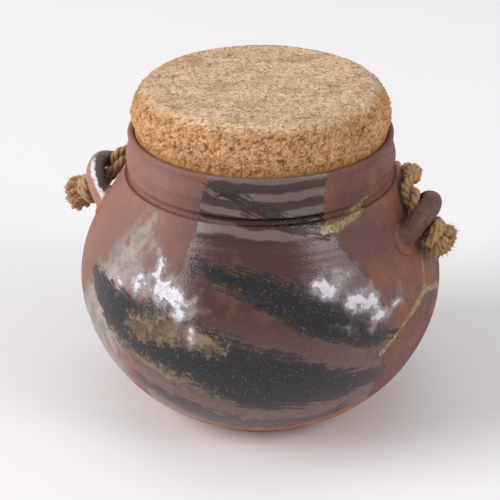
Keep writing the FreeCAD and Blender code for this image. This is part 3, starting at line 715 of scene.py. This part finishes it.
def grain_at(x, y, height):
    """How far the worn cork lies inside its outline, its grain's tone, the gap and the pit."""
    place = Vector((x, y, height))
    side = held((CORK_TOP - 0.5 - height) / 3.5)
    # noise_vector can differ from one run of Blender to the next, and the grain with it.
    warp = noise.noise_vector(place / 1.7) * 0.34
    apart, middles = noise.voronoi(place / GRAIN + warp)
    inward = apart[1] - apart[0]
    gap = 1 - min(inward / 0.2, 1)
    tone = scatter(middles[0], 1)
    lost = scatter(middles[0], 2) < 0.008 + 0.04 * side
    depth = 0.3 - 0.28 * side + 0.4 * gap * (0.4 + 1.2 * side) + (0.14 + 0.7 * side) * tone
    if lost:
        depth += (0.5 + 0.75 * side) * min(inward / 0.25, 1)
    depth += 0.55 * (0.5 + 0.5 * noise.noise(place / 14.0))
    depth += (0.16 + 0.5 * side) * noise.noise(place / 0.8)
    depth += (0.05 + 0.45 * side) * noise.noise(place / 1.5)
    depth = max(depth, 0.02) * min(max((height - RIM) / 1.5, 0.25), 1) * (0.7 + 0.3 * side)
    return depth, tone, gap, float(lost)


def make_cork(material):
    outline = cork_outline()
    rows = len(outline)
    vertices, marks = [], []
    for k, (radius, height) in enumerate(outline):
        before, after = outline[max(k - 1, 0)], outline[min(k + 1, rows - 1)]
        length = math.dist(before, after)
        out, up = (before[1] - after[1]) / length, (after[0] - before[0]) / length
        for column in range(CORK_COLUMNS):
            angle = TAU * column / CORK_COLUMNS
            x, y = radius * math.cos(angle), radius * math.sin(angle)
            if height < RIM - 1:  # hidden inside the neck
                depth, *mark = 0.0, 0.5, 0.0, 0.0
            else:
                depth, *mark = grain_at(x, y, height)
            vertices.append((x - out * math.cos(angle) * depth,
                             y - out * math.sin(angle) * depth, height - up * depth))
            marks.append(mark)
    faces = grid_faces(rows, CORK_COLUMNS) + end_faces(rows, CORK_COLUMNS)
    faces = [face[::-1] for face in faces]
    cork = link_mesh("cork_bung", np.array(vertices) * MM, faces, material)
    for name, values in zip(("tone", "gap", "pit"), np.array(marks).T):
        put_attribute(cork, name, values)
    return cork


def cork_material():
    """Pressed cork: greyer and worn on top, warm at the side, with painted shade in its gaps and
    pits.
    """
    n = Nodes("agglomerated_cork")
    place = n.where()
    height = n.made("ShaderNodeSeparateXYZ", "Z", {"Vector": place})
    worn = n.noise(place, 0.14, 5, 0.68)
    side = n.step(n.plus(height, n.times(worn, 3.0)), CORK_TOP + 1.2, CORK_TOP - 3.6)
    low = n.step(height, RIM + 7, RIM)
    fine = n.noise(place, 1.6, 5, 0.7)
    crumb = n.noise(place, 0.75, 4, 0.7)
    broad = n.noise(place, 0.05, 3, 0.6)
    flake = n.noise(n.where((0.3, 1, 1)), 0.9, 3, 0.6)
    tone = n.attribute("tone")
    top = n.mix(tone, srgb(226, 188, 150), srgb(250, 218, 182))
    top = n.fleck(top, flake, 0.48, 0.62, 0.75, (252, 228, 198))
    top = n.fleck(top, crumb, 0.5, 0.68, 0.7, (166, 128, 96))
    top = n.fleck(top, worn, 0.46, 0.62, 0.55, (184, 146, 112))
    flank = n.mix(tone, srgb(208, 154, 104), srgb(246, 196, 142))
    color = n.mix(side, top, flank)
    color = n.mix(n.times(low, 0.55), color, srgb(208, 140, 78))
    color = n.fleck(color, fine, 0.5, 0.75, 0.6, (128, 82, 48))
    color = n.mix(n.times(side, n.step(crumb, 0.5, 0.66, 0, 0.6)), color, srgb(124, 80, 48))
    color = n.fleck(color, broad, 0.4, 0.65, 0.18, (168, 122, 82))
    # Painted shade in the gaps between granules and in the pits.
    color = n.fleck(color, n.attribute("gap"), 0.3, 1.0, 0.72, (112, 72, 42))
    pit = n.times(n.attribute("pit"), n.step(tone, 0.2, 0.8, 0.25, 0.6))
    color = n.mix(pit, color, srgb(84, 52, 30))
    bark = n.times(n.step(n.cells(place, 0.7), 0.24, 0.12), n.step(fine, 0.5, 0.6))
    color = n.mix(n.times(bark, 0.5), color, srgb(92, 58, 34))
    n.set(Base_Color=color, Roughness=0.92, Normal=n.bump(n.plus(fine, crumb), 0.9, 0.0009))
    n.shader.inputs["Specular IOR Level"].default_value = 0.25
    return n.material


# ------------------------ rope

# The route of part.py's rope, in metres, and the sizes of its strands in millimetres.
ROPE_ROUTE = [
    (0.0844, -0.0038, 0.1054),
    (0.0795, -0.0022, 0.1092),
    (0.0747, -0.0026, 0.1176),
    (0.0718, 0.0107, 0.1216),
    (0.0695, 0.0281, 0.1180),
    (0.0645, 0.0468, 0.1100),
    (0.0532, 0.0657, 0.1018),
    (0.0342, 0.0806, 0.0960),
    (0.0101, 0.0885, 0.0930),
    (-0.0155, 0.0877, 0.0930),
    (-0.0391, 0.0784, 0.0960),
    (-0.0566, 0.0629, 0.1016),
    (-0.0667, 0.0450, 0.1086),
    (-0.0715, 0.0282, 0.1148),
    (-0.0731, 0.0129, 0.1188),
    (-0.0757, 0.0026, 0.1158),
    (-0.0799, 0.0006, 0.1086),
    (-0.0842, -0.0016, 0.1044),
]
STRAND_RADIUS = 2.5
STRAND_OFFSET = 2.2
PLY_OFFSET, PLY_RADIUS = 0.42, 0.58  # as shares of the strand's radius
UNDER_LUG, BESIDE_LUG, HALF_PITCH = 9.0, 20.0, 15.5
HAIR = 0.07
GOLDEN_ANGLE = 2.399963
# The loops of a knot: turns, radius, advance, first turn and tilt.
KNOT_LOOPS = [(1.12, 5.6, 4.8, 0.3, 0.9), (1.05, 5.4, -3.8, 2.6, -1.3), (0.6, 4.6, 2.0, 4.4, 2.0)]


def spline_points(points, name):
    """Points read from the NURBS line of a route."""
    curve = bpy.data.curves.new(name, "CURVE")
    curve.dimensions = "3D"
    curve.resolution_u = 24
    spline = curve.splines.new("NURBS")
    spline.points.add(len(points) - 1)
    for control, point in zip(spline.points, points):
        control.co = (*point, 1)
    spline.order_u = 3
    spline.use_endpoint_u = True
    holder = bpy.data.objects.new(name, curve)
    scene.collection.objects.link(holder)
    mesh = bpy.data.meshes.new_from_object(holder)
    line = [vertex.co.copy() for vertex in mesh.vertices]
    bpy.data.objects.remove(holder)
    bpy.data.curves.remove(curve)
    bpy.data.meshes.remove(mesh)
    return line


def evenly(line, step):
    """The same line at even steps."""
    line = np.array([tuple(p) for p in line])
    keep = np.concatenate([[True], np.linalg.norm(np.diff(line, axis=0), axis=1) > 1e-7])
    line = line[keep]
    walked = np.concatenate([[0], np.cumsum(np.linalg.norm(np.diff(line, axis=0), axis=1))])
    count = max(2, int(walked[-1] / step))
    at = np.linspace(0, walked[-1], count + 1)
    return np.stack([np.interp(at, walked, line[:, k]) for k in range(3)], 1), at


def unit(vectors):
    return vectors / np.maximum(np.linalg.norm(vectors, axis=-1, keepdims=True), 1e-12)


def turning_frames(line, hint):
    """Normals that turn as little as they can along the line, and the sides square to them."""
    tangent = unit(np.gradient(line, axis=0))
    normal = np.zeros_like(line)
    current = np.array(hint, float)
    for k, t in enumerate(tangent):
        current = current - t * np.dot(current, t)
        current /= np.linalg.norm(current)
        normal[k] = current
    return normal, np.cross(tangent, normal)


class Yarn:
    """Gathers the tubes of twisted fibre that make one mesh. Lengths are in millimetres."""

    def __init__(self):
        self.vertices, self.faces = [], []
        self.groove, self.lane_x, self.lane_y, self.walked, self.tone = [], [], [], [], []
        self.count = 0

    def tube(self, line, radius, plies, pitch, around, hint, tone, depth=1.0):
        """A strand along a line. Its plies twist round it, and radius may change along it."""
        line = np.asarray(line, float)
        normal, side = turning_frames(line, hint)
        steps = np.linalg.norm(np.diff(line, axis=0), axis=1)
        walked = np.concatenate([[0], np.cumsum(steps)])
        radius = np.broadcast_to(np.asarray(radius, float), (len(line),))
        turn = np.arange(around) * TAU / around
        lane = turn[None, :] - walked[:, None] * TAU / pitch
        fold = ((plies * lane + math.pi) % TAU - math.pi) / plies
        lobe = PLY_OFFSET * np.cos(fold) + np.sqrt(
            np.maximum(PLY_RADIUS ** 2 - (PLY_OFFSET * np.sin(fold)) ** 2, 0.01))
        lobe = 1 - (1 - lobe) * depth
        size = radius[:, None] * lobe
        ring = (line[:, None, :] + size[..., None] * (
            np.cos(turn)[None, :, None] * normal[:, None, :]
            + np.sin(turn)[None, :, None] * side[:, None, :]))
        rows = len(line)
        self.faces += grid_faces(rows, around, self.count) + end_faces(rows, around, self.count)
        self.vertices.append(ring.reshape(-1, 3))
        self.groove.append(lobe.ravel())
        self.lane_x.append(np.cos(lane).ravel())
        self.lane_y.append(np.sin(lane).ravel())
        self.walked.append(np.repeat(walked, around))
        self.tone.append(np.full(rows * around, tone))
        self.count += rows * around

    def hair(self, start, aim, length, thickness, curl, rng):
        """One loose fibre."""
        aim = unit(np.array(aim, float))
        bend = unit(np.array([rng.uniform(-1, 1) for _ in range(3)]))
        t = np.linspace(0, 1, 6)[:, None]
        line = np.array(start) + aim * t * length + bend * curl * length * t ** 2
        self.tube(line, thickness * (1 - 0.75 * t[:, 0]), 1, 50, 3, (0.3, 0.5, 0.8),
                  rng.uniform(0.5, 1.0), 0.0)

    def build(self, name, material):
        piece = link_mesh(name, np.concatenate(self.vertices) * MM, self.faces, material)
        for key in ("groove", "lane_x", "lane_y", "walked", "tone"):
            put_attribute(piece, key, np.concatenate(getattr(self, key)))
        return piece


def lies_on(line):
    """Outward directions of the pot's wall beside a line in millimetres."""
    rise = np.clip((line[:, 2] - BELLY_HEIGHT) / BELLY_ARC, 0, math.sin(HIGH_TURN))
    flat = np.sqrt(1 - rise ** 2)
    around = unit(np.stack([line[:, 0], line[:, 1], np.zeros(len(line))], 1))
    return around * flat[:, None] + np.array([0, 0, 1.0]) * rise[:, None]


def make_rope(material):
    """Two strands twisted round the route, and the route itself."""
    spine = spline_points(ROPE_ROUTE, "rope_route")
    line, walked = evenly([p / MM for p in spine], 0.6)
    tangent = unit(np.gradient(line, axis=0))
    outward = lies_on(line)
    outward = unit(outward - tangent * np.sum(outward * tangent, 1)[:, None])
    sideways = np.cross(tangent, outward)
    # The two strands lie side by side under each lug.
    from_end = np.minimum(walked, walked[-1] - walked)
    twisted = walked[-1] - 2 * UNDER_LUG
    half_turns = round(twisted / HALF_PITCH)
    phase = math.pi / 2 + (walked - UNDER_LUG) / twisted * half_turns * math.pi
    swell = np.clip((BESIDE_LUG - from_end) / 8, 0, 1)
    swell *= np.sin(phase) ** 4
    girth = STRAND_RADIUS * (1 + 0.16 * swell)
    apart = STRAND_OFFSET * (1 + 0.2 * swell)
    reach = apart * np.abs(np.cos(phase)) + girth
    lift = np.maximum(reach - 3.5, 0)
    middle = line + outward * lift[:, None]
    yarn = Yarn()
    rng = random.Random(7)
    for number in (0, 1):
        turn = phase + math.pi * number
        strand = middle + apart[:, None] * (
            np.cos(turn)[:, None] * outward + np.sin(turn)[:, None] * sideways)
        sway = np.array([[noise.noise(Vector((s * 0.08, number * 9.0, k * 5.0)))
                          for k in range(3)] for s in walked])
        ease = np.clip(from_end / 14, 0, 1)[:, None]
        strand = strand + sway * 0.22 * ease
        size = girth * np.array([1 - 0.05 * (1 + noise.noise(
            Vector((s * 0.15, 3.0 + number, 0)))) for s in walked])
        yarn.tube(strand, size, 3, -12.0, 26, (0, 0.3, 1), 0.45 + 0.1 * number)
        for _ in range(130):
            at = rng.randrange(8, len(strand) - 8)
            away = unit(strand[at] - middle[at] + outward[at] * 1.2)
            slant = tangent[at] * rng.uniform(-1.2, 1.2)
            yarn.hair(strand[at] + away * 1.9, away + slant, rng.uniform(0.5, 1.0), HAIR, 0.25, rng)
    rope = yarn.build("rope_strands", material)
    return rope, [tuple(p * MM) for p in line]


def helix(middle, aim, sideways, radius, turns, advance, start_turn, squash, tilt):
    """A loop or loops round an axis."""
    aim = unit(np.array(aim, float))
    first = np.array(sideways, float)
    first = unit(first - aim * np.dot(first, aim))
    second = np.cross(aim, first)
    count = max(12, int(abs(turns) * 40))
    t = np.linspace(0, 1, count)
    turn = start_turn + t * turns * TAU
    lean = tilt * np.sin(turn)
    return (np.array(middle) + radius * (np.cos(turn)[:, None] * first
                                         + squash * np.sin(turn)[:, None] * second)
            + ((t - 0.5) * advance + lean)[:, None] * aim)


def make_knot(name, material, middle, aim, hint, seed, locks, lock_radius, ball, deep, reach):
    """An overhand knot drawn tight, and the end beyond it frayed into a round tuft of locks."""
    rng = random.Random(seed)
    middle = np.array(middle, float)
    aim = unit(np.array(aim, float))
    first = np.array(hint, float)
    first = unit(first - aim * np.dot(first, aim))
    second = np.cross(aim, first)
    yarn = Yarn()
    for turns, radius, advance, begin, tilt in KNOT_LOOPS:
        loop = helix(middle, aim, first, radius, turns, advance, begin, 0.96, tilt)
        ends = np.minimum(np.arange(len(loop)), len(loop) - 1 - np.arange(len(loop)))
        tuck = np.clip(1 - ends / 7, 0, 1)[:, None]
        loop = loop + (middle - loop) * tuck * 0.35
        yarn.tube(loop, 2.6, 3, -12.0, 26, aim, rng.uniform(0.3, 0.6))
    core = np.array([middle + aim * s for s in np.linspace(-3.6, reach, 12)])
    yarn.tube(core, 4.3, 5, 30.0, 26, first, 0.2)
    heart = middle + aim * reach
    for number in range(locks):
        place = math.sqrt((number + 0.5) / locks)
        turn = number * GOLDEN_ANGLE + rng.uniform(-0.25, 0.25)
        lean = place * math.radians(92)
        side = first * math.cos(turn) + second * math.sin(turn)
        outward = aim * math.cos(lean) * deep + side * math.sin(lean)
        tip = heart + outward * ball * rng.uniform(0.82, 1.03) + np.array([0, 0, -1.4])
        start = middle + aim * 1.5 + side * 3.0 * place
        bend = (start + heart) / 2 + outward * ball * 0.42 + aim * rng.uniform(0.0, 1.6)
        t = np.linspace(0, 1, 14)[:, None]
        sway = unit(np.array([rng.uniform(-1, 1) for _ in range(3)])) * rng.uniform(0.3, 1.1)
        line = (1 - t) ** 2 * start + 2 * t * (1 - t) * bend + t ** 2 * tip
        line = line + sway * np.sin(t * 5.0) * 0.5 * lock_radius
        close = np.sqrt(np.clip(1 - ((t[:, 0] - 0.8) / 0.205).clip(0, 1) ** 2, 0.02, 1))
        size = lock_radius * rng.uniform(0.85, 1.15) * close * (0.72 + 0.4 * t[:, 0])
        yarn.tube(line, size, 3, rng.uniform(6, 9), 12, first, rng.uniform(0.1, 1.0), 0.8)
        for _ in range(3):
            at = line[rng.randrange(6, 14)]
            yarn.hair(at, outward + sway, rng.uniform(1.0, 2.2) + lock_radius * 0.6, HAIR, 0.6, rng)
    for _ in range(150):
        turn, along = rng.uniform(0, TAU), rng.uniform(-4, 4)
        side = first * math.cos(turn) + second * math.sin(turn)
        start = middle + aim * along + side * 6.4
        yarn.hair(start, side * rng.uniform(0.3, 1.0) + aim * rng.uniform(-0.8, 1.0),
                  rng.uniform(1.0, 2.2), HAIR, 0.5, rng)
    return yarn.build(name, material)


def jute():
    """Straw fibres that run along each strand, with painted shade in the grooves between plies."""
    n = Nodes("jute")
    lanes = n.join(n.attribute("lane_x"), n.attribute("lane_y"),
                   n.times(n.attribute("walked"), 0.22))
    fibre = n.noise(lanes, 7.0, 4, 0.65)
    thick = n.noise(lanes, 2.2, 3, 0.6)
    patch = n.noise(n.where(), 0.09, 3)
    straws = n.noise(lanes, 14.0, 3, 0.6)
    color = n.mix(n.step(fibre, 0.3, 0.7), srgb(128, 88, 52), srgb(226, 180, 126))
    color = n.fleck(color, straws, 0.52, 0.68, 0.6, (250, 214, 164))
    color = n.fleck(color, thick, 0.38, 0.68, 0.55, (164, 118, 74))
    color = n.fleck(color, n.attribute("tone"), 0.2, 1.0, 0.4, (224, 184, 134))
    color = n.fleck(color, patch, 0.45, 0.65, 0.25, (134, 100, 64))
    # Painted shade in the grooves between plies.
    color = n.fleck(color, n.attribute("groove"), 0.9, 0.72, 0.6, (62, 40, 22))
    height = n.plus(fibre, n.times(thick, 0.6))
    n.set(Base_Color=color, Roughness=0.9, Normal=n.bump(height, 0.85, 0.0005))
    n.shader.inputs["Specular IOR Level"].default_value = 0.2
    n.shader.inputs["Sheen Weight"].default_value = 0.25
    n.shader.inputs["Sheen Roughness"].default_value = 0.5
    return n.material


# ------------------------ the pieces

jute_fibre = jute()
rope, rope_line = make_rope(jute_fibre)
knot_right = make_knot("knot_and_tuft_right", jute_fibre, (88.2, -4.4, 103.0),
                       (6.5, 1.5, -5.5), (0, 1, 0.2), 11, 230, 0.92, 9.4, 0.72, 4.2)
knot_left = make_knot("knot_and_tuft_left", jute_fibre, (-88.4, -4.6, 102.6),
                      (-9.5, 1.0, -3.2), (0, 1, 0.3), 23, 56, 1.5, 9.3, 0.8, 7.2)
pot = make_pot(stoneware())
cork = make_cork(cork_material())

for piece, nodes, slot in ((pot, ["pot"], "stoneware"), (cork, ["cork"], "cork"),
                           (rope, ["rope"], "rope"), (knot_right, ["knot_right"], "rope"),
                           (knot_left, ["knot_left"], "rope")):
    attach(piece, "root")
    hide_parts(*nodes)


# ------------------------ stage and light

FLOOR_HALF = 2.2
LAMP_AIM = Vector((0, 0, 0.08))
SKY_LIGHT, SKY_SEEN = 0.43, 0.7


def make_floor():
    n = Nodes("floor")
    n.set(Base_Color=srgb(240, 238, 240), Roughness=1.0)
    n.shader.inputs["Specular IOR Level"].default_value = 0.0
    turns = ((-1, -1), (1, -1), (1, 1), (-1, 1))
    corners = [(x * FLOOR_HALF, y * FLOOR_HALF, 0) for x, y in turns]
    floor = link_mesh("floor", corners, [(0, 1, 2, 3)], n.material, False)


def make_lamp(name, place, size, power):
    """A soft rectangular lamp that faces the pot."""
    data = bpy.data.lights.new(name, "AREA")
    data.shape = "RECTANGLE"
    data.size, data.size_y = size
    data.energy = power
    lamp = bpy.data.objects.new(name, data)
    lamp.location = place
    lamp.rotation_euler = (LAMP_AIM - place).to_track_quat("-Z", "Y").to_euler()
    scene.collection.objects.link(lamp)


def toward(right, front, height):
    """A place given as seen from the camera."""
    return RIGHT * right + FRONT * front + Vector((0, 0, height))


def make_sky():
    """An even backdrop, paler where it is looked at or mirrored than as a light."""
    world = bpy.data.worlds.new("studio")
    world.use_nodes = True
    tree = world.node_tree
    rays = tree.nodes.new("ShaderNodeLightPath")
    seen = rays.outputs["Is Camera Ray"]
    for ray in ("Is Glossy Ray", "Is Transmission Ray"):
        either = tree.nodes.new("ShaderNodeMath")
        either.operation = "MAXIMUM"
        tree.links.new(seen, either.inputs[0])
        tree.links.new(rays.outputs[ray], either.inputs[1])
        seen = either.outputs[0]
    level = tree.nodes.new("ShaderNodeMapRange")
    level.inputs["To Min"].default_value = SKY_LIGHT
    level.inputs["To Max"].default_value = SKY_SEEN
    tree.links.new(seen, level.inputs["Value"])
    backdrop = tree.nodes["Background"]
    backdrop.inputs["Color"].default_value = (1, 0.99, 1, 1)
    tree.links.new(level.outputs["Result"], backdrop.inputs["Strength"])
    scene.world = world


make_floor()
make_lamp("window", toward(-3.52, 0.96, 1.95), (2.56, 3.04), 154)
make_lamp("over", toward(0.0, -0.3, 2.6), (2.2, 1.6), 10)
make_lamp("fill", toward(3.52, 1.44, 1.87), (2.56, 2.56), 38)
make_lamp("front", toward(1.5, 1.25, 1.5), (0.75, 0.8), 8.5)
make_sky()
